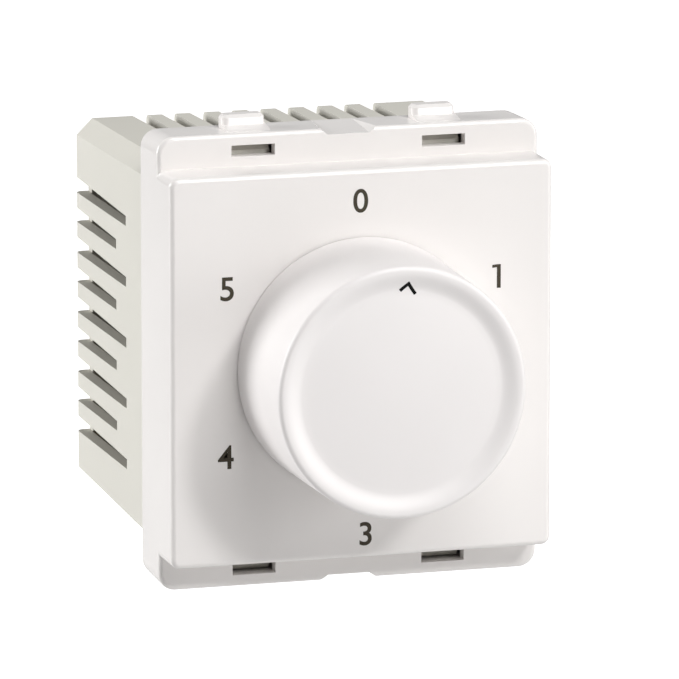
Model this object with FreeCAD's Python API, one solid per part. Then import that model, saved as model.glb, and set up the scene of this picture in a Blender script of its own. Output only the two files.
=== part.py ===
import FreeCAD, Part
import os
from math import cos, sin, radians, sqrt, atan, degrees

# Rotary fan speed control for a wall frame, two modules wide.
# Millimetres. X is to the right, Z is up and Y goes into the wall.
# The origin is on the knob's axis, in the plane of the front cover's back rim.

V = FreeCAD.Vector

# Front cover
cover_width = 45.0            # two modules of 22.5 side by side
panel_height = 45.0
panel_rise = 5.5              # panel's face in front of the flange's face
panel_wall = 1.8
panel_corner = 1.0
panel_edge = 0.6
flange_lip = 3.8              # how far the flange stands out over and under the panel
flange_depth = 7.2            # flange's face to the cover's back rim
flange_wall = 1.5
flange_corner = 2.0
flange_edge = 0.5
flange_draft = 0.3            # what the flange's top and bottom lose towards the back
side_wall = 1.5
rim_wall = 1.0                # flange's top and bottom walls, at the back

# Features of the flange
module_pitch = 22.5           # windows and lugs stand at the middle of each module
window_width = 5.1
window_height = 1.3
window_to_cavity = 0.05       # window's outer edge to the outer wall's inner face
notch_width = 4.9
notch_end_slope = 0.95
notch_depth = 0.65
lug_width = 5.1
lug_height = 1.4              # above the flange's edge
lug_front = 1.2               # start of the lug's ramp behind the flange's face
lug_ramp_rise = 0.25
lug_ramp_length = 2.5
lug_lead = 0.35
lug_top_length = 2.1
lug_corner = 0.8
lug_edge = 0.35
catch_width = 5.6
catch_depth = 0.8
catch_reach = 0.8             # how far the catch rib stands in from the outer wall
catch_from_rim = 2.9

# Rear housing
housing_depth = 31.3          # cover's back rim to the housing's rear face
housing_side_step = 0.2       # housing's sides stand in from the cover's
housing_shelf = 2.4           # housing's top and bottom stand in from the flange's cavity
housing_width_draft = 0.25
housing_height_draft = 0.85
housing_chamfer = 1.9
housing_wall = 1.45
housing_rear_wall = 1.6
housing_rear_round = 0.9
joint_gap = 0.1               # shadow line between the cover and the housing
fit_gap = 0.15                # housing's front plates inside the cover
plate_thickness = 1.5
arm_width = 4.6
arm_thickness = 1.2
arm_tip_gap = 0.2
tooth_height = 0.65
tooth_length = 1.1
tooth_lead = 0.5
snap_gap = 0.1

# Ventilation slots
slot_count = 9
side_slot_pitch = 3.57
side_slot_offset = -0.35      # middle slot's height above the knob's axis
end_slot_pitch = 3.46         # the slots of the top and the bottom
end_slot_offset = -0.5        # middle slot's place across the top
slot_front_height = 1.17
slot_rear_height = 1.85
slot_depth = 1.6
long_slot_front = 7.7         # behind the cover's back rim
short_slot_front = 12.2
bottom_slot_count = 3

# Knob
knob_gap = 0.25
knob_reach = 16.2             # rim of the knob in front of the panel
knob_base_radius = 14.75
knob_rim_radius = 14.45
knob_rim_edge = 0.55
knob_crest_radius = 13.75
knob_valley_radius = 11.6
knob_valley_depth = 1.15
knob_slope_radius = 12.5      # where the steep part of the slope ends
knob_slope_depth = 0.85
knob_dome_height = 0.65
knob_wall = 1.6
knob_face_wall = 1.7
knob_hub_radius = 4.4
knob_hub_end = 1.4            # hub's end in front of the panel
knob_rib_count = 6
knob_rib_thickness = 1.0
knob_rib_end = 3.4
clip_thickness = 0.34
clip_width = 3.4
clip_length = 8.0
clip_play = 0.05

# Shaft of the rotary switch
shaft_radius = 2.5
shaft_flat = 1.5              # flat's distance from the axis
shaft_tip = 12.8              # in front of the panel
shaft_play = 0.05
journal_radius = 1.5
journal_depth = 1.6
circlip_thickness = 0.5
circlip_radius = 4.1
circlip_groove = 0.4
circlip_mouth = 2.6
circlip_play = 0.05

# Rotary switch
switch_size = 24.0
switch_corner = 1.5
cap_gap = 0.2                 # cap's face behind the panel's wall
cap_depth = 3.8
cap_front_wall = 1.3
base_depth = 4.2
base_floor = 1.6
rotor_space = 9.6
collar_radius = 3.5
collar_gap = 0.1
collar_front = 0.3            # collar's end behind the panel's face
wheel_radius = 7.4
wheel_thickness = 1.8
wheel_play = 0.2
position_count = 6
position_step = 60.0          # degrees from one position to the next
stop_slack = 1.0              # degrees of play between the stops
detent_round = 1.6
detent_pitch_radius = 8.3
nose_radius = 1.0
nose_gap = 0.1
spring_thickness = 0.35
spring_width = 1.4
spring_half_span = 6.4
spring_rise = 2.0
spring_play = 0.1             # between the spring's ends and its pocket
carrier_radius = 8.1
stop_reach = 0.9              # how far the stop key stands out of the carrier
stop_play = 0.2
carrier_thickness = 1.6
carrier_play = 0.1
wiper_thickness = 0.4
wiper_width = 3.0
wiper_dimple = 0.6
wiper_gap = 0.1
contact_radius = 7.0
contact_head = 1.3
contact_thickness = 0.4
contact_proud = 0.1
contact_play = 0.05
common_inner = 3.2
common_outer = 4.7
pin_radius = 0.5
hole_play = 0.05
rivet_inset = 1.9             # rivets' axes stand in from the switch's sides
rivet_radius = 1.0
rivet_head_radius = 1.7
rivet_head_depth = 0.7
rivet_play = 0.05

# Circuit board and what it carries
board_side_gap = 0.4          # between the board and the cover's side walls
board_end_gap = 0.55          # between the board's top and the housing's wall
board_thickness = 1.6
board_tail = 0.5              # length of the soldered pins behind the board
post_inset = 3.6              # posts' axes stand in from the board's edges
post_radius = 2.2
post_spigot = 0.9
board_screw_radius = 1.0
board_screw_head = 2.0
board_screw_head_height = 1.2
board_screw_bevel = 0.4
board_screw_length = 7.0
board_slot = 0.8
board_slot_depth = 0.6
capacitor_gap = 0.8           # between the board and the capacitors
capacitor_edge = 0.7
lead_sides = 8
lead_radius = 0.4
lead_recess = 0.1             # leads end short of the board's front face
top_gap = 0.8                 # between the large capacitor and the housing's wall
large_side_gap = 2.6          # the same at its ends
large_rear_gap = 6.0          # room for the wires behind it
large_lead_inset = 4.0
large_medium_gap = 1.0
medium_height = 11.0
medium_side_gap = 4.6
medium_rear_gap = 8.0
medium_lead_inset = 2.5
medium_small_gap = 2.0
small_tail_gap = 1.6          # between the small capacitor and the terminals' tails
small_height = 9.5
small_cage_gap = 2.3          # from its rear face to the depth where the terminals start
small_lead_inset = 1.5
bottom_gap = 2.3              # between the small capacitor and the housing's wall
surge_radius = 2.0
surge_length = 11.0
surge_pitch = 15.0            # between a resistor's two legs
surge_gap = 1.2               # between the resistor and the switch
bleed_radius = 1.15
bleed_length = 6.5
bleed_pitch = 10.0
bleed_left_gap = 2.35
bleed_right_gap = 1.65
bleed_right_height = 6.0
wire_radius = 0.35
leg_tail = 0.2                # legs behind the board
resistor_gap = 0.3            # between a resistor and the board

# Wire terminals
terminal_inset = 6.0          # terminals stand in from the posts' axes
terminal_gap = 0.1            # between the cages and the housing's bottom wall
cage_half_width = 3.3
cage_depth = 7.8
cage_half_height = 4.0
cage_front_wall = 1.2
cage_back_wall = 1.7
tunnel_half_width = 2.3
plate_half_width = 2.2
plate_half_height = 3.8
clamp_thickness = 1.0
clamp_play = 0.05
thread_pitch = 0.7
clamp_turns = 4
screw_radius = 1.7
screw_head_radius = 2.6
screw_head_height = 1.8
screw_bevel = 0.45
screw_slot = 0.8
screw_slot_depth = 0.9
screw_hole_radius = 3.0
head_gap = 0.2
wire_hole_radius = 3.0
tail_half_thickness = 0.4
tail_half_height = 1.2
tail_recess = 0.1             # tails end short of the board's front face

# Places worked out from the sizes above
clamp_travel = thread_pitch * clamp_turns
rivet_place = switch_size / 2 - rivet_inset
half_width = cover_width / 2
flange_height = panel_height + 2 * flange_lip
module_x = module_pitch / 2
flange_front = -flange_depth
panel_front = flange_front - panel_rise
panel_back = panel_front + panel_wall
cavity_half_width = half_width - side_wall
cavity_half_height = flange_height / 2 - flange_draft - rim_wall
housing_half_width = half_width - housing_side_step
housing_half_height = cavity_half_height - housing_shelf
room_half_width = housing_half_width - housing_wall - housing_width_draft
room_half_height = housing_half_height - housing_wall - housing_height_draft
rear_face = housing_depth
rear_inside = rear_face - housing_rear_wall
cap_front = panel_back + cap_gap
cap_back = cap_front + cap_depth
base_back = cap_back + base_depth
floor_top = base_back - base_floor
board_front = base_back
board_back = board_front + board_thickness
board_half_width = cavity_half_width - board_side_gap
board_half_height = housing_half_height - housing_wall - board_end_gap
post_x = board_half_width - post_inset
post_z = board_half_height - post_inset
terminal_place = post_x - terminal_inset
terminal_height = cage_half_height + terminal_gap - room_half_height
contact_top = floor_top - contact_proud
contact_bottom = contact_top + contact_thickness
wiper_tip = contact_top - wiper_gap
wheel_front = cap_front + cap_front_wall + wheel_play
wheel_back = wheel_front + wheel_thickness
carrier_front = cap_back + carrier_play
carrier_back = carrier_front + carrier_thickness
knob_front = panel_front - knob_reach
knob_back = panel_front - knob_gap
knob_inside = knob_front + knob_valley_depth + knob_face_wall
hub_end = panel_front - knob_hub_end
over = 1.0                    # how far a cutting tool runs past the surface it opens
mostly = 0.9                  # share of its length that an edge runs along its axis, at least


def block(x, y, z):
    """Box between the low and the high value of each axis."""
    return Part.makeBox(x[1] - x[0], y[1] - y[0], z[1] - z[0], V(x[0], y[0], z[0]))


def rod(radius, y, x=0.0, z=0.0):
    """Cylinder along the depth."""
    return Part.makeCylinder(radius, y[1] - y[0], V(x, y[0], z), V(0, 1, 0))


def upright(radius, z, x=0.0, y=0.0):
    """Cylinder along the height."""
    return Part.makeCylinder(radius, z[1] - z[0], V(x, y, z[0]), V(0, 0, 1))


def prism(points, travel):
    """Flat outline pushed along a vector."""
    wire = Part.makePolygon(points + [points[0]])
    return Part.Face(wire).extrude(travel)


def side_profile(outline, x):
    """Outline of (y, z) points, pushed across the width."""
    return prism([V(x[0], p[0], p[1]) for p in outline], V(x[1] - x[0], 0, 0))


def top_profile(outline, z):
    """Outline of (x, y) points, pushed up."""
    return prism([V(p[0], p[1], z[0]) for p in outline], V(0, 0, z[1] - z[0]))


def front_profile(outline, y):
    """Outline of (x, z) points, pushed back."""
    return prism([V(p[0], y[0], p[1]) for p in outline], V(0, y[1] - y[0], 0))


def lead_outline(radius, a, b):
    """Outline of a thin lead or of its hole, round the point (a, b)."""
    corners = [on_circle(radius, (i + 0.5) * 360 / lead_sides) for i in range(lead_sides)]
    return [(a + p[0], b + p[1]) for p in corners]


def pin(radius, y, x=0.0, z=0.0):
    """Thin lead along the depth."""
    return front_profile(lead_outline(radius, x, z), y)


def fused(shapes):
    """One solid of several that touch or cross."""
    whole = shapes[0]
    if len(shapes) > 1:
        whole = whole.fuse(shapes[1:])
    return whole.removeSplitter()


def cut_all(shape, tools):
    return shape.cut(tools).removeSplitter()


def mirrored(shape, x=False, z=False):
    """Copy on the other side of the knob's axis."""
    if x:
        shape = shape.mirror(V(0, 0, 0), V(1, 0, 0))
    if z:
        shape = shape.mirror(V(0, 0, 0), V(0, 0, 1))
    return shape


def four_ways(shape):
    return [shape, mirrored(shape, x=True), mirrored(shape, z=True), mirrored(shape, x=True, z=True)]


def rounded(shape, radius, wanted):
    """Round the edges whose end points all pass the test."""
    edges = [e for e in shape.Edges if all(wanted(v.Point) for v in e.Vertexes)]
    return shape.makeFillet(radius, edges) if edges else shape


def bevelled(shape, size, wanted):
    """Chamfer the edges whose end points all pass the test."""
    return shape.makeChamfer(size, [e for e in shape.Edges if all(wanted(v.Point) for v in e.Vertexes)])


def along(edge, axis):
    """True where a straight edge runs mostly along an axis."""
    a, b = edge.Vertexes[0].Point, edge.Vertexes[-1].Point
    step = b.sub(a)
    return step.Length > 0 and abs(step.dot(axis)) > mostly * step.Length


def rounded_along(shape, radius, axis):
    edges = [e for e in shape.Edges if along(e, axis)]
    return shape.makeFillet(radius, edges)


def near(value, target, reach=1e-4):
    return abs(value - target) < reach


def rim_edges(shape, depth):
    """Edges that lie wholly at one depth."""
    return [e for e in shape.Edges if all(near(v.Point.y, depth) for v in e.Vertexes)
            and e.Curve.TypeId == "Part::GeomCircle"]


def straight_block(half_x, half_z, corner, y):
    """Upright block with round corners, seen from the front."""
    solid = block((-half_x, half_x), y, (-half_z, half_z))
    return rounded_along(solid, corner, V(0, 1, 0))


def octagon(half_x, half_z, chamfer, y):
    """Corner points of a rectangle with its corners cut off."""
    short_x, short_z = half_x - chamfer, half_z - chamfer
    outline = [(short_x, half_z), (half_x, short_z), (half_x, -short_z), (short_x, -half_z),
               (-short_x, -half_z), (-half_x, -short_z), (-half_x, short_z), (-short_x, half_z)]
    return [V(x, y, z) for x, z in outline]


def tapered(front, back):
    """Solid between two like outlines, with flat sides."""
    count = len(front)
    faces = [Part.Face(Part.makePolygon(front + front[:1])), Part.Face(Part.makePolygon(back + back[:1]))]
    for i in range(count):
        j = (i + 1) % count
        faces.append(Part.Face(Part.makePolygon([front[i], front[j], back[j], back[i], front[i]])))
    solid = Part.makeSolid(Part.makeShell(faces))
    if solid.Volume < 0:
        solid.reverse()
    return solid


def turned(outline, curved=()):
    """Solid of revolution about the depth axis. A curved step lists the point that its arc passes."""
    edges = []
    count = len(outline)
    for i in range(count):
        a, b = outline[i], outline[(i + 1) % count]
        start, end = V(a[0], a[1], 0), V(b[0], b[1], 0)
        if i in curved:
            middle = curved[i]
            edges.append(Part.Arc(start, V(middle[0], middle[1], 0), end).toShape())
        else:
            edges.append(Part.makeLine(start, end))
    return Part.Face(Part.Wire(edges)).revolve(V(0, 0, 0), V(0, 1, 0), 360)


def on_circle(radius, angle):
    return radius * cos(radians(angle)), radius * sin(radians(angle))


def position_angles():
    """Angle of each of the knob's positions, clockwise from the top."""
    return [90 - i * position_step for i in range(position_count)]


def d_section(radius, flat, y):
    """Round bar with a flat on its upper side."""
    bar = rod(radius, y)
    return bar.cut(block((-radius - over, radius + over), (y[0] - over, y[1] + over), (flat, radius + over)))


def make_lug():
    """Ramped catch on the flange's top, which snaps behind the frame's bar."""
    foot = flange_height / 2 - flange_draft - rim_wall / 2
    top = flange_height / 2 + lug_height
    start = flange_front + lug_front
    outline = [(start, foot), (start, flange_height / 2 - flange_draft / 2),
               (start + lug_ramp_length, flange_height / 2 + lug_ramp_rise),
               (start + lug_ramp_length + lug_lead, top),
               (start + lug_ramp_length + lug_lead + lug_top_length, top),
               (start + lug_ramp_length + lug_lead + lug_top_length, foot)]
    lug = side_profile(outline, (module_x - lug_width / 2, module_x + lug_width / 2))
    lug = rounded_along(lug, lug_corner, V(0, lug_lead, top - flange_height / 2 - lug_ramp_rise))
    return bevelled(lug, lug_edge, lambda p: near(p.z, top))


def make_notch():
    """Shallow sloped recess in the flange's edge, for a screwdriver's blade."""
    half = notch_width / 2
    low, high = -notch_depth, over
    spread = notch_end_slope * (high - low) / notch_depth
    outline = [(-half, low), (half, low), (half + spread, high), (-half - spread, high)]
    tool = front_profile(outline, (-over, flange_depth + over))
    slope = degrees(atan((notch_depth - flange_draft) / flange_depth))
    tool.rotate(V(0, 0, -notch_depth), V(1, 0, 0), slope)
    tool.translate(V(0, flange_front, flange_height / 2))
    return tool


def front_cover():
    panel = straight_block(half_width, panel_height / 2, panel_corner, (panel_front, 0))
    panel = rounded(panel, panel_edge, lambda p: near(p.y, panel_front))
    top, back_top = flange_height / 2, flange_height / 2 - flange_draft
    flange = side_profile([(flange_front, top), (0, back_top), (0, -back_top), (flange_front, -top)],
                          (-half_width, half_width))
    flange = rounded_along(flange, flange_corner, V(0, 1, 0))
    flange = rounded(flange, flange_edge, lambda p: near(p.y, flange_front))
    cavities = [
        block((-cavity_half_width, cavity_half_width), (panel_back, over),
              (-panel_height / 2 + side_wall, panel_height / 2 - side_wall)),
        block((-cavity_half_width, cavity_half_width), (flange_front + flange_wall, over),
              (-cavity_half_height, cavity_half_height)),
    ]
    window_top = cavity_half_height - window_to_cavity
    window = block((module_x - window_width / 2, module_x + window_width / 2),
                   (flange_front - over, flange_front + flange_wall + over),
                   (window_top - window_height, window_top))
    notch = make_notch()
    shaft_hole = rod(collar_radius + collar_gap, (panel_front - over, panel_back + over))
    cover = fused([panel, flange])
    cover = cut_all(cover, cavities + four_ways(window) + [notch, mirrored(notch, z=True), shaft_hole])
    catch = block((module_x - catch_width / 2, module_x + catch_width / 2),
                  (-catch_from_rim - catch_depth, -catch_from_rim),
                  (cavity_half_height - catch_reach, cavity_half_height + rim_wall / 2))
    lug = make_lug()
    posts = []
    post_depth = (panel_back - panel_wall / 2, board_front)
    for x in (-post_x, post_x):
        spigot = rod(post_spigot, (board_front - over, board_back), x, post_z)
        posts.append(rod(post_radius, post_depth, x, post_z).fuse(spigot))
        pilot = rod(board_screw_radius + hole_play, (board_back - board_screw_length - 2 * hole_play, over),
                    x, -post_z)
        posts.append(rod(post_radius, post_depth, x, -post_z).cut(pilot))
    return fused([cover] + four_ways(catch) + [lug, mirrored(lug, x=True)] + posts)


def slot_outline(front, centre):
    """Slot seen flat: it widens towards the housing's rear edge and runs out of it."""
    back = rear_face + over
    growth = (slot_rear_height - slot_front_height) / (rear_face - long_slot_front)
    low = slot_front_height / 2
    high = low + growth * (back - front) / 2
    return [(front, centre - low), (back, centre - high), (back, centre + high), (front, centre + low)]


def slot_fronts(count):
    """Long and short slots by turns, long ones at both ends."""
    return [long_slot_front if i % 2 == 0 else short_slot_front for i in range(count)]


def side_slots():
    tools = []
    inner = housing_half_width - housing_width_draft - slot_depth
    for i, front in enumerate(slot_fronts(slot_count)):
        centre = side_slot_offset + (i - (slot_count - 1) / 2) * side_slot_pitch
        outline = slot_outline(front, centre)
        tools.append(side_profile(outline, (inner, housing_half_width + over)))
        tools.append(side_profile(outline, (-housing_half_width - over, -inner)))
    return tools


def end_slots(count, upper):
    tools = []
    inner = housing_half_height - housing_height_draft - slot_depth
    z = (inner, housing_half_height + over) if upper else (-housing_half_height - over, -inner)
    for i, front in enumerate(slot_fronts(count)):
        centre = end_slot_offset + (i - (count - 1) / 2) * end_slot_pitch
        outline = [(x, y) for y, x in slot_outline(front, centre)]
        tools.append(top_profile(outline, z))
    return tools


def snap_arm():
    """Arm with a tooth that catches behind the cover's rib and shows in the window."""
    tip = flange_front + flange_wall + arm_tip_gap
    tooth_back = -catch_from_rim - catch_depth - snap_gap
    upper = cavity_half_height - catch_reach - snap_gap
    lower = upper - arm_thickness
    crest = upper + tooth_height
    outline = [(tip, lower), (-plate_thickness + snap_gap, lower), (-plate_thickness + snap_gap, upper),
               (tooth_back, upper), (tooth_back, crest), (tooth_back - tooth_length, crest),
               (tooth_back - tooth_length - tooth_lead, upper), (tip, upper)]
    return side_profile(outline, (module_x - arm_width / 2, module_x + arm_width / 2))


def cage_back():
    return rear_inside - head_gap - screw_head_height - clamp_travel - 2 * clamp_play


def cage_front():
    return cage_back() - cage_depth


def clamp_back():
    """Rear face of the clamp plate, with the terminal fully open."""
    return cage_back() - cage_back_wall - clamp_play


def wire_depth():
    """Depth of the wire's axis in the terminal."""
    return (cage_front() + cage_front_wall + clamp_back() - clamp_thickness) / 2


def rear_housing():
    front = octagon(housing_half_width, housing_half_height, housing_chamfer, joint_gap)
    rear_half_width = housing_half_width - housing_width_draft
    rear_half_height = housing_half_height - housing_height_draft
    back = octagon(rear_half_width, rear_half_height, housing_chamfer, rear_face)
    plate = block((-cavity_half_width + fit_gap, cavity_half_width - fit_gap), (-plate_thickness, joint_gap),
                  (housing_half_height - housing_wall, cavity_half_height - fit_gap))
    body = fused([tapered(front, back), plate, mirrored(plate, z=True)])
    body = rounded(body, housing_rear_round, lambda p: near(p.y, rear_face))
    inner_chamfer = housing_chamfer - housing_wall * (2 - sqrt(2))
    width_slope = housing_width_draft / (rear_face - joint_gap)
    height_slope = housing_height_draft / (rear_face - joint_gap)
    hollow_front, hollow_back = -over, rear_inside
    hollow = tapered(
        octagon(housing_half_width - housing_wall - width_slope * (hollow_front - joint_gap),
                housing_half_height - housing_wall - height_slope * (hollow_front - joint_gap),
                inner_chamfer, hollow_front),
        octagon(housing_half_width - housing_wall - width_slope * (hollow_back - joint_gap),
                housing_half_height - housing_wall - height_slope * (hollow_back - joint_gap),
                inner_chamfer, hollow_back))
    body = fused([body.cut(hollow)] + four_ways(snap_arm()))
    holes = []
    for x in (-terminal_place, terminal_place):
        holes.append(rod(screw_hole_radius, (rear_inside - over, rear_face + over), x, terminal_height))
        holes.append(upright(wire_hole_radius, (-housing_half_height - over,
                                                terminal_height - cage_half_height + over), x, wire_depth()))
    slots = side_slots() + end_slots(slot_count, True) + end_slots(bottom_slot_count, False)
    return cut_all(body, slots + holes)


def knob():
    """Turned cup with a raised rim and a low dome, a hub and inner ribs."""
    edge = knob_rim_edge
    bevel = edge * (1 - sqrt(0.5))
    valley = knob_front + knob_valley_depth
    dome = valley - knob_dome_height
    dome_radius = (knob_valley_radius ** 2 + knob_dome_height ** 2) / (2 * knob_dome_height)
    dome_middle = knob_valley_radius / 2
    outline = [(0, dome), (0, knob_inside), (knob_rim_radius - knob_wall, knob_inside),
               (knob_base_radius - knob_wall, knob_back), (knob_base_radius, knob_back),
               (knob_rim_radius, knob_front + edge), (knob_rim_radius - bevel, knob_front + bevel),
               (knob_rim_radius - edge, knob_front), (knob_crest_radius, knob_front),
               (knob_slope_radius, knob_front + knob_slope_depth), (knob_valley_radius, valley)]
    dome_arc = (dome_middle, dome + dome_radius - sqrt(dome_radius ** 2 - dome_middle ** 2))
    cup = turned(outline, {len(outline) - 1: dome_arc})
    hub = rod(knob_hub_radius, (knob_inside - over, hub_end))
    ribs = []
    for i in range(knob_rib_count):
        rib = block((0, knob_rim_radius - knob_wall / 2), (knob_inside - over, panel_front - knob_rib_end),
                    (-knob_rib_thickness / 2, knob_rib_thickness / 2))
        rib.rotate(V(0, 0, 0), V(0, 1, 0), i * 360 / knob_rib_count)
        ribs.append(rib)
    bore_front = panel_front - shaft_tip - shaft_play
    bore = d_section(shaft_radius + shaft_play, shaft_flat + shaft_play, (bore_front, hub_end + over))
    pocket = block((-clip_width / 2 - clip_play, clip_width / 2 + clip_play),
                   (hub_end - clip_length - clip_play, hub_end + over),
                   (shaft_flat, shaft_flat + clip_thickness + 2 * clip_play))
    return cut_all(fused([cup, hub] + ribs), [bore, pocket])


def knob_clip():
    """Flat spring between the knob's hub and the flat of the shaft."""
    leaf = block((-clip_width / 2, clip_width / 2), (hub_end - clip_length, hub_end),
                 (shaft_flat + clip_play, shaft_flat + clip_play + clip_thickness))
    return rounded_along(leaf, clip_thickness, V(0, 0, 1))


def circlip_span():
    front = panel_front - circlip_thickness
    return front, front + circlip_thickness


def switch_shaft():
    """D shaft: knob end, round bearing, seat of the rotors and rear journal."""
    front, back = circlip_span()
    knob_part = d_section(shaft_radius, shaft_flat, (panel_front - shaft_tip, hub_end + over / 2))
    bearing = rod(shaft_radius, (hub_end + over / 2, cap_front + cap_front_wall))
    rotor_part = d_section(shaft_radius, shaft_flat, (cap_front + cap_front_wall, wiper_back()))
    journal = rod(journal_radius, (wiper_back(), wiper_back() + journal_depth))
    groove = rod(shaft_radius + over, (front, back)).cut(rod(shaft_radius - circlip_groove, (front, back)))
    return fused([knob_part, bearing, rotor_part, journal]).cut(groove)


def shaft_circlip():
    """Open ring in the shaft's groove."""
    front, back = circlip_span()
    y = (front + circlip_play, back - circlip_play)
    ring = rod(circlip_radius, y).cut(rod(shaft_radius - circlip_groove + circlip_play, y))
    mouth = block((-circlip_mouth / 2, circlip_mouth / 2), (y[0] - over, y[1] + over),
                  (-circlip_radius - over, 0))
    return ring.cut(mouth)


def detent_wheel():
    """Star wheel with one notch for each position."""
    y = (wheel_front, wheel_back)
    wheel = rod(wheel_radius, y)
    notches = [rod(detent_round, (y[0] - over, y[1] + over), *on_circle(detent_pitch_radius, a))
               for a in position_angles()]
    bore = d_section(shaft_radius + shaft_play, shaft_flat + shaft_play, (y[0] - over, y[1] + over))
    return wheel.cut(notches + [bore])


def nose_height():
    """Height of the centre of the detent spring's nose."""
    return detent_pitch_radius - detent_round + nose_radius + nose_gap


def detent_spring():
    """Bowed leaf with a round nose that rests in the wheel's upper notch."""
    middle = (wheel_front + wheel_back) / 2
    y = (middle - spring_width / 2, middle + spring_width / 2)
    centre = nose_height()
    ring = rod(nose_radius, y, 0, centre).cut(
        rod(nose_radius - spring_thickness, (y[0] - over, y[1] + over), 0, centre))
    nose = ring.cut(block((-nose_radius - over, nose_radius + over), (y[0] - over, y[1] + over),
                          (centre, centre + nose_radius + over)))
    leg = front_profile([(nose_radius - spring_thickness, centre), (nose_radius, centre),
                         (spring_half_span, centre + spring_rise),
                         (spring_half_span, centre + spring_rise + spring_thickness),
                         (nose_radius - spring_thickness, centre + spring_thickness)], y)
    return fused([nose, leg, mirrored(leg, x=True)])


def wiper_back():
    return carrier_back + wiper_thickness


def sector(inner, outer, middle, half_angle, y):
    """Part of a ring, seen from the front."""
    ring = rod(outer, y).cut(rod(inner, y))
    reach = 2 * outer
    sides = [on_circle(reach, middle + half_angle), on_circle(reach, middle - half_angle)]
    return ring.common(front_profile([(0, 0)] + sides, y))


def stop_half_angle():
    """The key and the stop fill what the travel leaves free of the full circle."""
    travel = position_step * (position_count - 1) + stop_slack
    return (360 - travel) / 4


def contact_carrier():
    """Insulating disc that turns with the shaft, holds the wiper and has the stop key."""
    y = (carrier_front, carrier_back)
    key = sector(carrier_radius / 2, carrier_radius + stop_reach, 90, stop_half_angle(), y)
    disc = fused([rod(carrier_radius, y), key])
    hub = rod(common_outer, (wheel_back + carrier_play / 2, carrier_front))
    bore = d_section(shaft_radius + shaft_play, shaft_flat + shaft_play, (wheel_back - over, y[1] + over))
    return fused([disc, hub]).cut(bore)


def wiper_contact():
    """Spring plate with a dimple over the common ring and one over the speed contacts."""
    y = (carrier_back, wiper_back())
    ring = rod(common_outer, y)
    arm = block((-wiper_width / 2, wiper_width / 2), y, (0, contact_radius + wiper_dimple))
    middle = (common_inner + common_outer) / 2
    dimples = [rod(wiper_dimple, (y[1], wiper_tip), 0, z) for z in (-middle, contact_radius)]
    bore = rod(shaft_radius + contact_play, (y[0] - over, y[1] + over))
    return fused([ring, arm] + dimples).cut(bore)


def rivet_spots():
    return [(-rivet_place, -rivet_place), (rivet_place, rivet_place)]


def switch_cap():
    """Front half of the rotary switch, with the shaft's collar."""
    body = straight_block(switch_size / 2, switch_size / 2, switch_corner, (cap_front, cap_back))
    collar = rod(collar_radius, (panel_front + collar_front, cap_front + over / 2))
    inside = (cap_front + cap_front_wall, cap_back + over)
    room = rod(rotor_space, inside)
    pocket_half = spring_half_span + spring_play
    pocket_top = nose_height() + spring_rise + spring_thickness + spring_play
    pocket = block((-pocket_half, pocket_half), inside, (0, pocket_top))
    bore = rod(shaft_radius + shaft_play, (panel_front - over, cap_back))
    rivets = []
    for x, z in rivet_spots():
        rivets.append(rod(rivet_radius + rivet_play, (cap_front - over, cap_back + over), x, z))
        rivets.append(rod(rivet_head_radius + rivet_play,
                          (cap_front - over, cap_front + rivet_head_depth + rivet_play), x, z))
    return cut_all(fused([body, collar]), [room, pocket, bore] + rivets)


def pin_spots():
    """Place of each soldered pin: the common ring's, then the speed contacts'."""
    middle = (common_inner + common_outer) / 2
    return [on_circle(middle, 90)] + [on_circle(contact_radius, a) for a in position_angles()[1:]]


def switch_base():
    """Rear half of the rotary switch, which holds the contacts and the journal."""
    body = straight_block(switch_size / 2, switch_size / 2, switch_corner, (cap_back, base_back))
    room = rod(rotor_space, (cap_back - over, floor_top))
    journal = rod(journal_radius + shaft_play, (floor_top - over, wiper_back() + journal_depth + hole_play))
    seat = (floor_top - over, contact_bottom)
    ring = rod(common_outer + contact_play, seat).cut(rod(common_inner - contact_play, seat))
    tools = [room, journal, ring]
    for x, z in pin_spots():
        tools.append(pin(pin_radius + hole_play, (floor_top - over, base_back + over), x, z))
    for x, z in pin_spots()[1:]:
        tools.append(rod(contact_head + contact_play, seat, x, z))
    for x, z in rivet_spots():
        tools.append(rod(rivet_radius + rivet_play, (cap_back - over, base_back + over), x, z))
        tools.append(rod(rivet_head_radius + rivet_play,
                         (base_back - rivet_head_depth - rivet_play, base_back + over), x, z))
    middle = 90 + position_step / 2
    stop = sector(carrier_radius + stop_play, rotor_space + over, middle, stop_half_angle(),
                  (cap_back + stop_play, floor_top + over / 2))
    return fused([cut_all(body, tools), stop])


def switch_rivet(x, z):
    shank = rod(rivet_radius, (cap_front, base_back), x, z)
    heads = [rod(rivet_head_radius, (cap_front, cap_front + rivet_head_depth), x, z),
             rod(rivet_head_radius, (base_back - rivet_head_depth, base_back), x, z)]
    return fused([shank] + heads)


def contact_pin(x, z):
    return pin(pin_radius, (contact_bottom - contact_play, board_back + board_tail), x, z)


def common_contact():
    y = (contact_top, contact_bottom)
    ring = rod(common_outer, y).cut(rod(common_inner, y))
    x, z = pin_spots()[0]
    return fused([ring, contact_pin(x, z)])


def speed_contact(number):
    x, z = pin_spots()[number]
    return fused([rod(contact_head, (contact_top, contact_bottom), x, z), contact_pin(x, z)])


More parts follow.
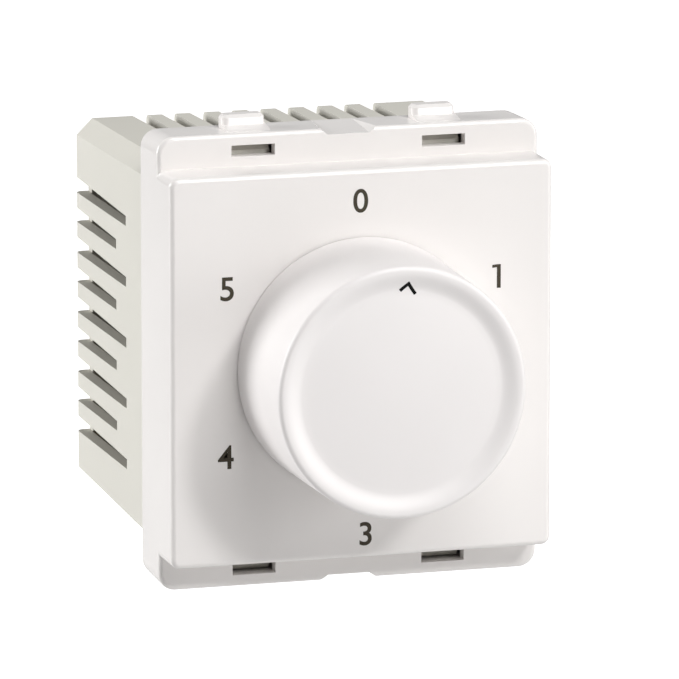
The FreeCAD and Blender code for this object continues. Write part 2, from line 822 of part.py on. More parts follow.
def capacitor_plan():
    """Half width, low and high edge, rear face and half pitch of the leads of each capacitor."""
    small_low = bottom_gap - room_half_height
    small_high = small_low + small_height
    medium_low = small_high + medium_small_gap
    medium_high = medium_low + medium_height
    large_low = medium_high + large_medium_gap
    large_half = room_half_width - large_side_gap
    medium_half = room_half_width - medium_side_gap
    small_half = terminal_place - tail_half_thickness - small_tail_gap
    return {
        "large_capacitor": (large_half, (large_low, room_half_height - top_gap),
                            rear_inside - large_rear_gap, large_half - large_lead_inset),
        "medium_capacitor": (medium_half, (medium_low, medium_high),
                             rear_inside - medium_rear_gap, medium_half - medium_lead_inset),
        "small_capacitor": (small_half, (small_low, small_high),
                            cage_front() - small_cage_gap, small_half - small_lead_inset),
    }


def capacitor(half, z, rear, lead_x):
    """Film capacitor in a moulded case, with two leads through the board."""
    front = board_back + capacitor_gap
    case = block((-half, half), (front, rear), z)
    back_edges = [e for e in case.Edges if any(near(v.Point.y, rear) for v in e.Vertexes)]
    case = case.makeChamfer(capacitor_edge, back_edges)
    y = (board_front + lead_recess, front + over)
    leads = [pin(lead_radius, y, x, (z[0] + z[1]) / 2) for x in (-lead_x, lead_x)]
    return fused([case] + leads)


def resistor_plan():
    """Radius, length, pitch, middle's x and z, and whether it stands upright, of each resistor."""
    surge_z = switch_size / 2 + surge_gap + surge_radius
    left = -switch_size / 2 - bleed_left_gap - bleed_radius
    right = switch_size / 2 + bleed_right_gap + bleed_radius
    return {
        "surge_resistor_1": (surge_radius, surge_length, surge_pitch, 0, surge_z, False),
        "surge_resistor_2": (surge_radius, surge_length, surge_pitch, 0, -surge_z, False),
        "bleed_resistor_1": (bleed_radius, bleed_length, bleed_pitch, left, 0, True),
        "bleed_resistor_2": (bleed_radius, bleed_length, bleed_pitch, right, bleed_right_height, True),
    }


def resistor(radius, length, pitch, x, z, standing):
    """Axial resistor on the board's front: a body with two bent leads."""
    y = board_front - resistor_gap - radius
    body = Part.makeCylinder(radius, length, V(-length / 2, 0, 0), V(1, 0, 0))
    wire = side_profile(lead_outline(wire_radius, 0, 0), (-pitch / 2, pitch / 2))
    reach = (-lead_radius, board_back + leg_tail - y)
    legs = [pin(lead_radius, reach, foot) for foot in (-pitch / 2, pitch / 2)]
    whole = fused([body, wire] + legs)
    if standing:
        whole.rotate(V(0, 0, 0), V(0, 1, 0), 90)
    whole.translate(V(x, y, z))
    return whole


def resistor_feet(pitch, x, z, standing):
    if standing:
        return [(x, z - pitch / 2), (x, z + pitch / 2)]
    return [(x - pitch / 2, z), (x + pitch / 2, z)]


def circuit_board():
    y = (board_front - over, board_back + over)
    board = block((-board_half_width, board_half_width), (board_front, board_back),
                  (-board_half_height, board_half_height))
    holes = [pin(pin_radius + hole_play, y, x, z) for x, z in pin_spots()]
    for x in (-post_x, post_x):
        holes.append(rod(post_spigot + hole_play, y, x, post_z))
        holes.append(rod(board_screw_radius + hole_play, y, x, -post_z))
    for half, z, rear, lead_x in capacitor_plan().values():
        holes += [pin(lead_radius + hole_play, y, x, (z[0] + z[1]) / 2) for x in (-lead_x, lead_x)]
    for radius, length, pitch, x, z, standing in resistor_plan().values():
        holes += [pin(lead_radius + hole_play, y, *spot) for spot in resistor_feet(pitch, x, z, standing)]
    for x in (-terminal_place, terminal_place):
        holes.append(block((x - tail_half_thickness - hole_play, x + tail_half_thickness + hole_play), y,
                           (terminal_height - tail_half_height - hole_play,
                            terminal_height + tail_half_height + hole_play)))
    return board.cut(holes)


def board_screw(x):
    """Pan head screw that holds the board on a post of the cover."""
    shank = rod(board_screw_radius, (board_back - board_screw_length, board_back), x, -post_z)
    head = rod(board_screw_head, (board_back, board_back + board_screw_head_height), x, -post_z)
    top = board_back + board_screw_head_height
    head = head.makeChamfer(board_screw_bevel, rim_edges(head, top))
    slot = block((x - board_screw_head, x + board_screw_head),
                 (top - board_slot_depth, top + over),
                 (-post_z - board_slot / 2, -post_z + board_slot / 2))
    return fused([shank, head]).cut(slot)


def terminal(x):
    """Pressed brass cage with a tail that is soldered in the board."""
    y0, y1 = cage_front(), cage_back()
    low, high = terminal_height - cage_half_height, terminal_height + cage_half_height
    cage = block((x - cage_half_width, x + cage_half_width), (y0, y1), (low, high))
    tunnel = block((x - tunnel_half_width, x + tunnel_half_width),
                   (y0 + cage_front_wall, y1 - cage_back_wall), (low - over, high + over))
    thread = rod(screw_radius + clamp_play, (y1 - cage_back_wall - over, y1 + over), x, terminal_height)
    tail = block((x - tail_half_thickness, x + tail_half_thickness),
                 (board_front + tail_recess, y0 + over / 2),
                 (terminal_height - tail_half_height, terminal_height + tail_half_height))
    return fused([cage, tail]).cut([tunnel, thread])


def clamp_plate(x):
    back = clamp_back()
    return block((x - plate_half_width, x + plate_half_width), (back - clamp_thickness, back),
                 (terminal_height - plate_half_height, terminal_height + plate_half_height))


def clamp_screw(x):
    head_front = rear_inside - head_gap - screw_head_height
    head_back = head_front + screw_head_height
    shank = rod(screw_radius, (clamp_back(), head_front), x, terminal_height)
    head = rod(screw_head_radius, (head_front, head_back), x, terminal_height)
    head = head.makeChamfer(screw_bevel, rim_edges(head, head_back))
    slot = block((x - screw_head_radius - over, x + screw_head_radius + over),
                 (head_back - screw_slot_depth, head_back + over),
                 (terminal_height - screw_slot / 2, terminal_height + screw_slot / 2))
    return fused([shank, head]).cut(slot)


def all_pieces():
    pieces = {
        "front_cover": front_cover(),
        "rear_housing": rear_housing(),
        "knob": knob(),
        "knob_clip": knob_clip(),
        "switch_shaft": switch_shaft(),
        "shaft_circlip": shaft_circlip(),
        "detent_wheel": detent_wheel(),
        "detent_spring": detent_spring(),
        "contact_carrier": contact_carrier(),
        "wiper_contact": wiper_contact(),
        "switch_cap": switch_cap(),
        "switch_base": switch_base(),
        "common_contact": common_contact(),
        "circuit_board": circuit_board(),
    }
    for number, (x, z) in enumerate(rivet_spots(), 1):
        pieces["switch_rivet_%d" % number] = switch_rivet(x, z)
    for number in range(1, position_count):
        pieces["speed_contact_%d" % number] = speed_contact(number)
    for name, plan in capacitor_plan().items():
        pieces[name] = capacitor(*plan)
    for name, plan in resistor_plan().items():
        pieces[name] = resistor(*plan)
    for side, x in (("line", -terminal_place), ("fan", terminal_place)):
        pieces[side + "_terminal"] = terminal(x)
        pieces[side + "_clamp_plate"] = clamp_plate(x)
        pieces[side + "_clamp_screw"] = clamp_screw(x)
    for side, x in (("left", -post_x), ("right", post_x)):
        pieces["board_screw_" + side] = board_screw(x)
    return pieces


os.makedirs("parts", exist_ok=True)
for name, shape in all_pieces().items():
    solid = shape.Solids[0] if len(shape.Solids) == 1 else shape
    solid.exportStep("parts/%s.step" % name)
    print("%-20s solids %d valid %s volume %.2f" % (name, len(shape.Solids), shape.isValid(), shape.Volume))
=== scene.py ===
from math import cos, pi, radians, sin, tau

import bmesh
import bpy
from mathutils import Matrix, Vector


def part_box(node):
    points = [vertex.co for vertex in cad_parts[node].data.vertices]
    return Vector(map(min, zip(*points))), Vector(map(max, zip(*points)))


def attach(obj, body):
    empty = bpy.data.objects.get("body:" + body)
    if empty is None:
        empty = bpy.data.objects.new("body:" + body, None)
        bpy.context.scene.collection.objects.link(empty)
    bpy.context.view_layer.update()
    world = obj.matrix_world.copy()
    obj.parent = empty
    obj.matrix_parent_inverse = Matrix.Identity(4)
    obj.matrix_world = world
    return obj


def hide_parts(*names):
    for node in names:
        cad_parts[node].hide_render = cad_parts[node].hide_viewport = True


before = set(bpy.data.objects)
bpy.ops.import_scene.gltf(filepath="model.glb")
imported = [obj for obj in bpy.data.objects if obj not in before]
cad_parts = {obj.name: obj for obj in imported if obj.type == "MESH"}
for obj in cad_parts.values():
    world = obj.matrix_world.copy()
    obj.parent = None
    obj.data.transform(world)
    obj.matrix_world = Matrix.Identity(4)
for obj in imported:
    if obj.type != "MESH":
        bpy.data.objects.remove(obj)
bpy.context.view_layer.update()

bl_info = {
    "name": "Fan speed control",
    "version": (1, 0, 0),
    "blender": (4, 5, 0),
    "location": "View3D > Sidebar > Fan control",
    "description": "Finishes, printing and stage of a rotary fan speed control",
    "category": "Object",
}

MM = 0.001
PANEL_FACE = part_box("front_cover")[0].y
KNOB_LOW, KNOB_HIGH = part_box("knob")
BOARD_LOW, BOARD_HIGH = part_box("circuit_board")
PANEL_MIDDLE = Vector((0.0, PANEL_FACE, 0.0))
WHITE = (1.0, 1.0, 1.0, 1.0)


class PlasticSettings(bpy.types.PropertyGroup):
    cover_colour: bpy.props.FloatVectorProperty(
        name="Cover colour", description="Front cover's moulded plastic", subtype="COLOR", size=3,
        min=0.0, max=1.0, default=(0.87, 0.84, 0.82))
    housing_colour: bpy.props.FloatVectorProperty(
        name="Housing colour", description="Rear housing's moulded plastic", subtype="COLOR", size=3,
        min=0.0, max=1.0, default=(0.66, 0.645, 0.585))
    knob_colour: bpy.props.FloatVectorProperty(
        name="Knob colour", description="Knob's moulded plastic", subtype="COLOR", size=3,
        min=0.0, max=1.0, default=(0.865, 0.835, 0.825))
    cover_roughness: bpy.props.FloatProperty(
        name="Cover roughness", description="Satin of the front cover", min=0.0, max=1.0, default=0.2)
    knob_roughness: bpy.props.FloatProperty(
        name="Knob roughness", description="Satin of the knob", min=0.0, max=1.0, default=0.42)
    housing_roughness: bpy.props.FloatProperty(
        name="Housing roughness", description="Sheen of the rear housing", min=0.0, max=1.0, default=0.6)
    flow_size: bpy.props.FloatProperty(
        name="Flow size", description="Width of the faint waves that moulding leaves", unit="LENGTH",
        default=9.0 * MM)
    grain_size: bpy.props.FloatProperty(
        name="Grain size", description="Width of the mould's fine grain", unit="LENGTH", default=0.25 * MM)
    cover_grain: bpy.props.FloatProperty(
        name="Cover grain", description="Depth of the front cover's grain", unit="LENGTH",
        default=0.0015 * MM)
    housing_grain: bpy.props.FloatProperty(
        name="Housing grain", description="Depth of the rear housing's grain", unit="LENGTH",
        default=0.004 * MM)
    knob_grain: bpy.props.FloatProperty(
        name="Knob grain", description="Depth of the knob's grain", unit="LENGTH", default=0.0005 * MM)


class KnobSettings(bpy.types.PropertyGroup):
    segments: bpy.props.IntProperty(
        name="Segments", description="Steps round the turned surfaces", min=24, default=192)
    rim_radius: bpy.props.FloatProperty(
        name="Rim radius", description="Outer radius at the front", unit="LENGTH", default=14.45 * MM)
    rim_round: bpy.props.FloatProperty(
        name="Rim rounding", description="Radius of the rim's outer edge", unit="LENGTH", default=0.55 * MM)
    crest_radius: bpy.props.FloatProperty(
        name="Crest radius", description="Where the rim starts to fall towards the middle", unit="LENGTH",
        default=13.78 * MM)
    valley_radius: bpy.props.FloatProperty(
        name="Valley radius", description="Deepest ring of the face", unit="LENGTH", default=11.6 * MM)
    valley_depth: bpy.props.FloatProperty(
        name="Valley depth", description="How far the valley lies behind the rim", unit="LENGTH",
        default=0.6 * MM)
    dome_height: bpy.props.FloatProperty(
        name="Dome height", description="Rise of the middle over the valley", unit="LENGTH",
        default=0.58 * MM)
    wall: bpy.props.FloatProperty(
        name="Wall", description="Thickness of the side wall", unit="LENGTH", default=1.6 * MM)
    face_wall: bpy.props.FloatProperty(
        name="Face wall", description="Thickness of the face", unit="LENGTH", default=1.7 * MM)
    hub_radius: bpy.props.FloatProperty(
        name="Hub radius", description="Outer radius of the hub on the shaft", unit="LENGTH",
        default=4.4 * MM)
    bore_radius: bpy.props.FloatProperty(
        name="Bore radius", description="Radius of the hub's bore", unit="LENGTH", default=2.55 * MM)
    hub_step: bpy.props.FloatProperty(
        name="Hub step", description="How far the hub ends in front of the knob's base", unit="LENGTH",
        default=1.15 * MM)
    rib_count: bpy.props.IntProperty(
        name="Ribs", description="Ribs between the hub and the side wall", min=0, default=6)
    rib_thickness: bpy.props.FloatProperty(
        name="Rib thickness", description="Thickness of a rib", unit="LENGTH", default=1.0 * MM)
    rib_step: bpy.props.FloatProperty(
        name="Rib step", description="How far the ribs end in front of the knob's base", unit="LENGTH",
        default=3.15 * MM)


class PrintSettings(bpy.types.PropertyGroup):
    numeral_height: bpy.props.FloatProperty(
        name="Numeral height", description="Height of the printed numerals", unit="LENGTH",
        default=2.75 * MM)
    boldness: bpy.props.FloatProperty(
        name="Boldness", description="How much the characters' outlines grow, in shares of the font's size",
        default=0.011)
    ink_thickness: bpy.props.FloatProperty(
        name="Ink thickness", description="Thickness of the print", unit="LENGTH", default=0.02 * MM)
    speck_size: bpy.props.FloatProperty(
        name="Speck size", description="Width of the ink's uneven specks", unit="LENGTH", default=0.15 * MM)
    ink_colour: bpy.props.FloatVectorProperty(
        name="Ink colour", description="Dark grey of the numerals", subtype="COLOR", size=3,
        min=0.0, max=1.0, default=(0.048, 0.040, 0.028))
    pointer_colour: bpy.props.FloatVectorProperty(
        name="Pointer colour", description="Black of the knob's pointer", subtype="COLOR", size=3,
        min=0.0, max=1.0, default=(0.002, 0.002, 0.002))
    pointer_tip: bpy.props.FloatVectorProperty(
        name="Pointer tip", description="Place of the pointer's tip across the knob", size=2, unit="LENGTH",
        default=(0.70 * MM, 12.40 * MM))
    pointer_left: bpy.props.FloatVectorProperty(
        name="Pointer's left end", description="Lower end of the left line", size=2, unit="LENGTH",
        default=(-0.25 * MM, 11.61 * MM))
    pointer_right: bpy.props.FloatVectorProperty(
        name="Pointer's right end", description="Lower end of the right line", size=2, unit="LENGTH",
        default=(1.54 * MM, 11.15 * MM))
    pointer_stroke: bpy.props.FloatProperty(
        name="Pointer stroke", description="Width of the pointer's two lines", unit="LENGTH",
        default=0.38 * MM)


class InsideSettings(bpy.types.PropertyGroup):
    brass_colour: bpy.props.FloatVectorProperty(
        name="Brass colour", description="Brass of the contacts and terminals", subtype="COLOR", size=3,
        min=0.0, max=1.0, default=(0.72, 0.50, 0.20))
    zinc_colour: bpy.props.FloatVectorProperty(
        name="Zinc colour", description="Screws, rivets and clamp plates", subtype="COLOR", size=3,
        min=0.0, max=1.0, default=(0.62, 0.61, 0.58))
    spring_colour: bpy.props.FloatVectorProperty(
        name="Spring colour", description="Steel of the springs and the circlip", subtype="COLOR", size=3,
        min=0.0, max=1.0, default=(0.50, 0.50, 0.49))
    switch_colour: bpy.props.FloatVectorProperty(
        name="Switch colour", description="Plastic of the switch's cap and base", subtype="COLOR", size=3,
        min=0.0, max=1.0, default=(0.035, 0.035, 0.038))
    carrier_colour: bpy.props.FloatVectorProperty(
        name="Carrier colour", description="Detent wheel and contact carrier", subtype="COLOR", size=3,
        min=0.0, max=1.0, default=(0.62, 0.58, 0.46))
    shaft_colour: bpy.props.FloatVectorProperty(
        name="Shaft colour", description="Plastic of the switch's shaft", subtype="COLOR", size=3,
        min=0.0, max=1.0, default=(0.70, 0.68, 0.61))
    laminate_colour: bpy.props.FloatVectorProperty(
        name="Laminate colour", description="Brown of the circuit board", subtype="COLOR", size=3,
        min=0.0, max=1.0, default=(0.42, 0.25, 0.10))
    capacitor_colour: bpy.props.FloatVectorProperty(
        name="Capacitor colour", description="Cases of the film capacitors", subtype="COLOR", size=3,
        min=0.0, max=1.0, default=(0.085, 0.066, 0.050))
    lacquer_colour: bpy.props.FloatVectorProperty(
        name="Lacquer colour", description="Lacquer of the resistors", subtype="COLOR", size=3,
        min=0.0, max=1.0, default=(0.20, 0.34, 0.30))


class SolderSettings(bpy.types.PropertyGroup):
    colour: bpy.props.FloatVectorProperty(
        name="Solder colour", description="Bright grey of the solder", subtype="COLOR", size=3,
        min=0.0, max=1.0, default=(0.66, 0.66, 0.67))
    foot_radius: bpy.props.FloatProperty(
        name="Foot radius", description="Radius of a solder joint on the board", unit="LENGTH",
        default=0.95 * MM)
    top_radius: bpy.props.FloatProperty(
        name="Top radius", description="Radius of a solder joint at its top", unit="LENGTH",
        default=0.5 * MM)
    height: bpy.props.FloatProperty(
        name="Height", description="Height of a solder joint", unit="LENGTH", default=0.6 * MM)
    sides: bpy.props.IntProperty(
        name="Sides", description="Steps round a solder joint", min=3, default=20)


class StageSettings(bpy.types.PropertyGroup):
    lens: bpy.props.FloatProperty(
        name="Lens", description="Focal length of the camera in millimetres", default=467.5)
    distance: bpy.props.FloatProperty(
        name="Camera distance", description="From the camera to the panel's middle", unit="LENGTH",
        default=1.0)
    azimuth: bpy.props.FloatProperty(
        name="Azimuth", description="Camera's angle to the right of the knob's axis", subtype="ANGLE",
        unit="ROTATION", default=-0.285)
    elevation: bpy.props.FloatProperty(
        name="Elevation", description="Camera's angle above the horizon", subtype="ANGLE", unit="ROTATION",
        default=0.2083)
    aim_right: bpy.props.FloatProperty(
        name="Aim right", description="Sideways step of the camera", unit="LENGTH", default=-2.588 * MM)
    aim_up: bpy.props.FloatProperty(
        name="Aim up", description="Upward step of the camera", unit="LENGTH", default=2.811 * MM)
    floor_drop: bpy.props.FloatProperty(
        name="Floor drop", description="Floor's distance below the knob's axis", unit="LENGTH", default=0.12)
    floor_size: bpy.props.FloatProperty(
        name="Floor size", description="Width of the floor", unit="LENGTH", default=6.0)
    floor_glow: bpy.props.FloatProperty(
        name="Floor glow", description="Strength of the glow that only the camera sees", default=0.9)
    floor_dark: bpy.props.FloatProperty(
        name="Floor's darker grey", description="Darker of the floor's two greys", default=0.80)
    floor_light: bpy.props.FloatProperty(
        name="Floor's lighter grey", description="Lighter of the floor's two greys", default=0.82)
    floor_clouds: bpy.props.FloatProperty(
        name="Floor clouds", description="Width of the patches of grey", unit="LENGTH", default=0.4)
    floor_roughness: bpy.props.FloatProperty(
        name="Floor roughness", description="Dullness of the floor", min=0.0, max=1.0, default=0.9)
    key_place: bpy.props.FloatVectorProperty(
        name="Key light's place", description="Place of the light from the front right", size=3,
        unit="LENGTH", default=(0.3, -0.8, 0.5))
    key_size: bpy.props.FloatProperty(
        name="Key light's size", description="Width of its disk", unit="LENGTH", default=0.15)
    key_watts: bpy.props.FloatProperty(
        name="Key light's power", description="Power in watts", default=2.9)
    top_place: bpy.props.FloatVectorProperty(
        name="Top light's place", description="Place of the soft light from above", size=3,
        unit="LENGTH", default=(0.05, -0.25, 0.45))
    top_size: bpy.props.FloatProperty(
        name="Top light's size", description="Width of its disk", unit="LENGTH", default=0.3)
    top_watts: bpy.props.FloatProperty(
        name="Top light's power", description="Power in watts", default=1.5)
    right_place: bpy.props.FloatVectorProperty(
        name="Right light's place", description="Place of the soft light from the right", size=3,
        unit="LENGTH", default=(0.95, -0.45, 0.2))
    right_size: bpy.props.FloatProperty(
        name="Right light's size", description="Width of its disk", unit="LENGTH", default=0.6)
    right_watts: bpy.props.FloatProperty(
        name="Right light's power", description="Power in watts", default=3.8)
    left_place: bpy.props.FloatVectorProperty(
        name="Left light's place", description="Place of the soft light from behind on the left", size=3,
        unit="LENGTH", default=(-0.8, 0.5, 0.2))
    left_size: bpy.props.FloatProperty(
        name="Left light's size", description="Width of its disk", unit="LENGTH", default=0.5)
    left_watts: bpy.props.FloatProperty(
        name="Left light's power", description="Power in watts", default=8.0)
    mirrored_walls: bpy.props.FloatProperty(
        name="Mirrored walls", description="Share of the white walls in reflections", default=0.3)
    world_strength: bpy.props.FloatProperty(
        name="Room light", description="Strength of the even light of the room", default=0.08)


def new_material(name):
    """Empty node material with a Principled shader on its output."""
    material = bpy.data.materials.new(name)
    material.use_nodes = True
    nodes, links = material.node_tree.nodes, material.node_tree.links
    nodes.clear()
    output = nodes.new("ShaderNodeOutputMaterial")
    shader = nodes.new("ShaderNodeBsdfPrincipled")
    links.new(shader.outputs["BSDF"], output.inputs["Surface"])
    return material, nodes, links, shader


def arithmetic(nodes, links, operation, first, second=None):
    """Math node. Numbers are set on its sockets and outputs are linked."""
    node = nodes.new("ShaderNodeMath")
    node.operation = operation
    for socket, value in zip(node.inputs, (first, second)):
        if isinstance(value, (int, float)):
            socket.default_value = value
        elif value is not None:
            links.new(value, socket)
    return node.outputs["Value"]


def noise(nodes, links, size, detail):
    """Noise on the piece's own coordinates, with grains of a given width."""
    coordinates = nodes.new("ShaderNodeTexCoord")
    texture = nodes.new("ShaderNodeTexNoise")
    texture.inputs["Scale"].default_value = 1.0 / size
    texture.inputs["Detail"].default_value = detail
    links.new(coordinates.outputs["Object"], texture.inputs["Vector"])
    return texture.outputs["Fac"]


# Noise seldom leaves this part of its range
NOISE_LOW, NOISE_HIGH = 0.15, 0.85


def between(nodes, links, factor, low, high):
    """Value that rises from low to high as the noise does."""
    ranged = nodes.new("ShaderNodeMapRange")
    ranged.interpolation_type = "SMOOTHSTEP"
    ranged.inputs["From Min"].default_value = NOISE_LOW
    ranged.inputs["From Max"].default_value = NOISE_HIGH
    ranged.inputs["To Min"].default_value = low
    ranged.inputs["To Max"].default_value = high
    links.new(factor, ranged.inputs["Value"])
    return ranged.outputs["Result"]


def two_tones(nodes, links, factor, first, second):
    """Colour that goes from the first tone to the second as the noise rises."""
    ramp = nodes.new("ShaderNodeValToRGB")
    ramp.color_ramp.interpolation = "EASE"
    for element, place, tone in zip(ramp.color_ramp.elements, (NOISE_LOW, NOISE_HIGH), (first, second)):
        element.position = place
        element.color = (*tone, 1.0)
    links.new(factor, ramp.inputs["Fac"])
    return ramp.outputs["Color"]


def bump(nodes, links, shader, height, distance):
    """Fine relief of a given depth on the shader's normals."""
    relief = nodes.new("ShaderNodeBump")
    relief.inputs["Distance"].default_value = distance
    links.new(height, relief.inputs["Height"])
    links.new(relief.outputs["Normal"], shader.inputs["Normal"])


def shaded(colour, factor):
    """Colour made darker or lighter by a factor."""
    return tuple(channel * factor for channel in colour)


def moulded_plastic(name, colour, roughness, flow, grain, grain_depth, tone=0.985):
    """Injection-moulded plastic: even colour with faint flow waves and the mould's fine grain."""
    roughness_spread, refraction = 0.03, 1.5
    material, nodes, links, shader = new_material(name)
    waves = noise(nodes, links, flow, detail=0.0)
    links.new(two_tones(nodes, links, waves, shaded(colour, tone), colour), shader.inputs["Base Color"])
    links.new(between(nodes, links, waves, roughness, roughness + roughness_spread),
              shader.inputs["Roughness"])
    shader.inputs["IOR"].default_value = refraction
    bump(nodes, links, shader, noise(nodes, links, grain, detail=2.0), grain_depth)
    return material


def metal(name, colour, roughness, streak_size):
    """Plated or bare sheet metal with drawn streaks."""
    tone, roughness_spread, streak_depth = 0.85, 0.15, 0.004 * MM
    material, nodes, links, shader = new_material(name)
    shader.inputs["Metallic"].default_value = 1.0
    streaks = noise(nodes, links, streak_size, detail=6.0)
    links.new(two_tones(nodes, links, streaks, shaded(colour, tone), colour), shader.inputs["Base Color"])
    links.new(between(nodes, links, streaks, roughness, roughness + roughness_spread),
              shader.inputs["Roughness"])
    bump(nodes, links, shader, streaks, streak_depth)
    return material


def ink(name, colour, speck_size):
    """Pad-printed ink, slightly uneven."""
    tone, smooth, rough, shine = 1.5, 0.55, 0.7, 0.15
    material, nodes, links, shader = new_material(name)
    specks = noise(nodes, links, speck_size, detail=4.0)
    links.new(two_tones(nodes, links, specks, colour, shaded(colour, tone)), shader.inputs["Base Color"])
    links.new(between(nodes, links, specks, smooth, rough), shader.inputs["Roughness"])
    shader.inputs["Specular IOR Level"].default_value = shine
    return material


def dress(material, *names):
    """The named CAD nodes take this material."""
    for name in names:
        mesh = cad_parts[name].data
        mesh.materials.clear()
        mesh.materials.append(material)


def place_mesh(name, mesh, body, material):
    """A finished mesh becomes a piece that rides on a body."""
    mesh.materials.clear()
    mesh.materials.append(material)
    piece = bpy.data.objects.new(name, mesh)
    bpy.context.scene.collection.objects.link(piece)
    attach(piece, body)
    return piece


class FANCONTROL_OT_plastic(bpy.types.Operator):
    """Finish the front cover, the rear housing and the knob"""
    bl_idname = "fancontrol.plastic"
    bl_label = "Plastic of the case and the knob"

    def execute(self, context):
        settings = context.scene.fan_plastic
        flow, grain = settings.flow_size, settings.grain_size
        cover = moulded_plastic("Cover plastic", settings.cover_colour, settings.cover_roughness,
                                flow, grain, settings.cover_grain)
        housing = moulded_plastic("Housing plastic", settings.housing_colour, settings.housing_roughness,
                                  flow, grain, settings.housing_grain)
        knob = moulded_plastic("Knob plastic", settings.knob_colour, settings.knob_roughness,
                               flow, grain, settings.knob_grain)
        dress(cover, "front_cover")
        dress(housing, "rear_housing")
        dress(knob, "knob")
        return {"FINISHED"}


def tree_with(name, *inputs):
    """Geometry node tree with named inputs. Gives the tree, its nodes, its links and its two ends."""
    tree = bpy.data.node_groups.new(name, "GeometryNodeTree")
    for label, kind in inputs:
        tree.interface.new_socket(label, in_out="INPUT", socket_type=kind)
    tree.interface.new_socket("Geometry", in_out="OUTPUT", socket_type="NodeSocketGeometry")
    entry = tree.nodes.new("NodeGroupInput")
    finish = tree.nodes.new("NodeGroupOutput")
    return tree, tree.nodes, tree.links, entry, finish


def made_real(nodes, links, instances, finish):
    """The tree's end, where instances become real geometry."""
    real = nodes.new("GeometryNodeRealizeInstances")
    links.new(instances, real.inputs["Geometry"])
    links.new(real.outputs["Geometry"], finish.inputs["Geometry"])


def turning_tree():
    """Turns a profile about the depth axis. The profile's points hold radius in X and depth in Y."""
    tree, nodes, links, entry, finish = tree_with(
        "Turned piece", ("Profile", "NodeSocketGeometry"), ("Segments", "NodeSocketInt"),
        ("Weld", "NodeSocketFloat"))
    count = nodes.new("GeometryNodeAttributeDomainSize")
    links.new(entry.outputs["Profile"], count.inputs["Geometry"])
    rows = arithmetic(nodes, links, "ADD", entry.outputs["Segments"], 1)
    grid = nodes.new("GeometryNodeMeshGrid")
    links.new(count.outputs["Point Count"], grid.inputs["Vertices X"])
    links.new(rows, grid.inputs["Vertices Y"])
    index = nodes.new("GeometryNodeInputIndex").outputs["Index"]
    ring = arithmetic(nodes, links, "FLOOR", arithmetic(nodes, links, "DIVIDE", index, rows))
    step = arithmetic(nodes, links, "MODULO", index, rows)
    sample = nodes.new("GeometryNodeSampleIndex")
    sample.data_type = "FLOAT_VECTOR"
    links.new(entry.outputs["Profile"], sample.inputs["Geometry"])
    links.new(nodes.new("GeometryNodeInputPosition").outputs["Position"], sample.inputs["Value"])
    links.new(ring, sample.inputs["Index"])
    split = nodes.new("ShaderNodeSeparateXYZ")
    links.new(sample.outputs["Value"], split.inputs["Vector"])
    share = arithmetic(nodes, links, "DIVIDE", step, entry.outputs["Segments"])
    angle = arithmetic(nodes, links, "MULTIPLY", share, tau)
    place = nodes.new("ShaderNodeCombineXYZ")
    for axis, wave in (("X", "COSINE"), ("Z", "SINE")):
        turn = arithmetic(nodes, links, wave, angle)
        links.new(arithmetic(nodes, links, "MULTIPLY", split.outputs["X"], turn), place.inputs[axis])
    links.new(split.outputs["Y"], place.inputs["Y"])
    moved = nodes.new("GeometryNodeSetPosition")
    links.new(grid.outputs["Mesh"], moved.inputs["Geometry"])
    links.new(place.outputs["Vector"], moved.inputs["Position"])
    welded = nodes.new("GeometryNodeMergeByDistance")
    links.new(moved.outputs["Geometry"], welded.inputs["Geometry"])
    links.new(entry.outputs["Weld"], welded.inputs["Distance"])
    links.new(welded.outputs["Geometry"], finish.inputs["Geometry"])
    return tree


def rib_tree():
    """Flat ribs that stand in a ring round the depth axis."""
    tree, nodes, links, entry, finish = tree_with(
        "Rib ring", ("Geometry", "NodeSocketGeometry"), ("Count", "NodeSocketInt"),
        ("Middle radius", "NodeSocketFloat"), ("Middle depth", "NodeSocketFloat"),
        ("Rib size", "NodeSocketVector"))
    circle = nodes.new("GeometryNodeMeshCircle")
    links.new(entry.outputs["Count"], circle.inputs["Vertices"])
    links.new(entry.outputs["Middle radius"], circle.inputs["Radius"])
    rib = nodes.new("GeometryNodeMeshCube")
    links.new(entry.outputs["Rib size"], rib.inputs["Size"])
    index = nodes.new("GeometryNodeInputIndex").outputs["Index"]
    share = arithmetic(nodes, links, "DIVIDE", index, entry.outputs["Count"])
    turn = nodes.new("ShaderNodeCombineXYZ")
    links.new(arithmetic(nodes, links, "MULTIPLY", share, tau), turn.inputs["Z"])
    spread = nodes.new("GeometryNodeInstanceOnPoints")
    links.new(circle.outputs["Mesh"], spread.inputs["Points"])
    links.new(rib.outputs["Mesh"], spread.inputs["Instance"])
    links.new(turn.outputs["Vector"], spread.inputs["Rotation"])
    shift = nodes.new("ShaderNodeCombineXYZ")
    links.new(entry.outputs["Middle depth"], shift.inputs["Y"])
    laid = nodes.new("GeometryNodeTransform")
    laid.inputs["Rotation"].default_value = (pi / 2, 0.0, 0.0)
    links.new(shift.outputs["Vector"], laid.inputs["Translation"])
    links.new(spread.outputs["Instances"], laid.inputs["Geometry"])
    made_real(nodes, links, laid.outputs["Geometry"], finish)
    return tree


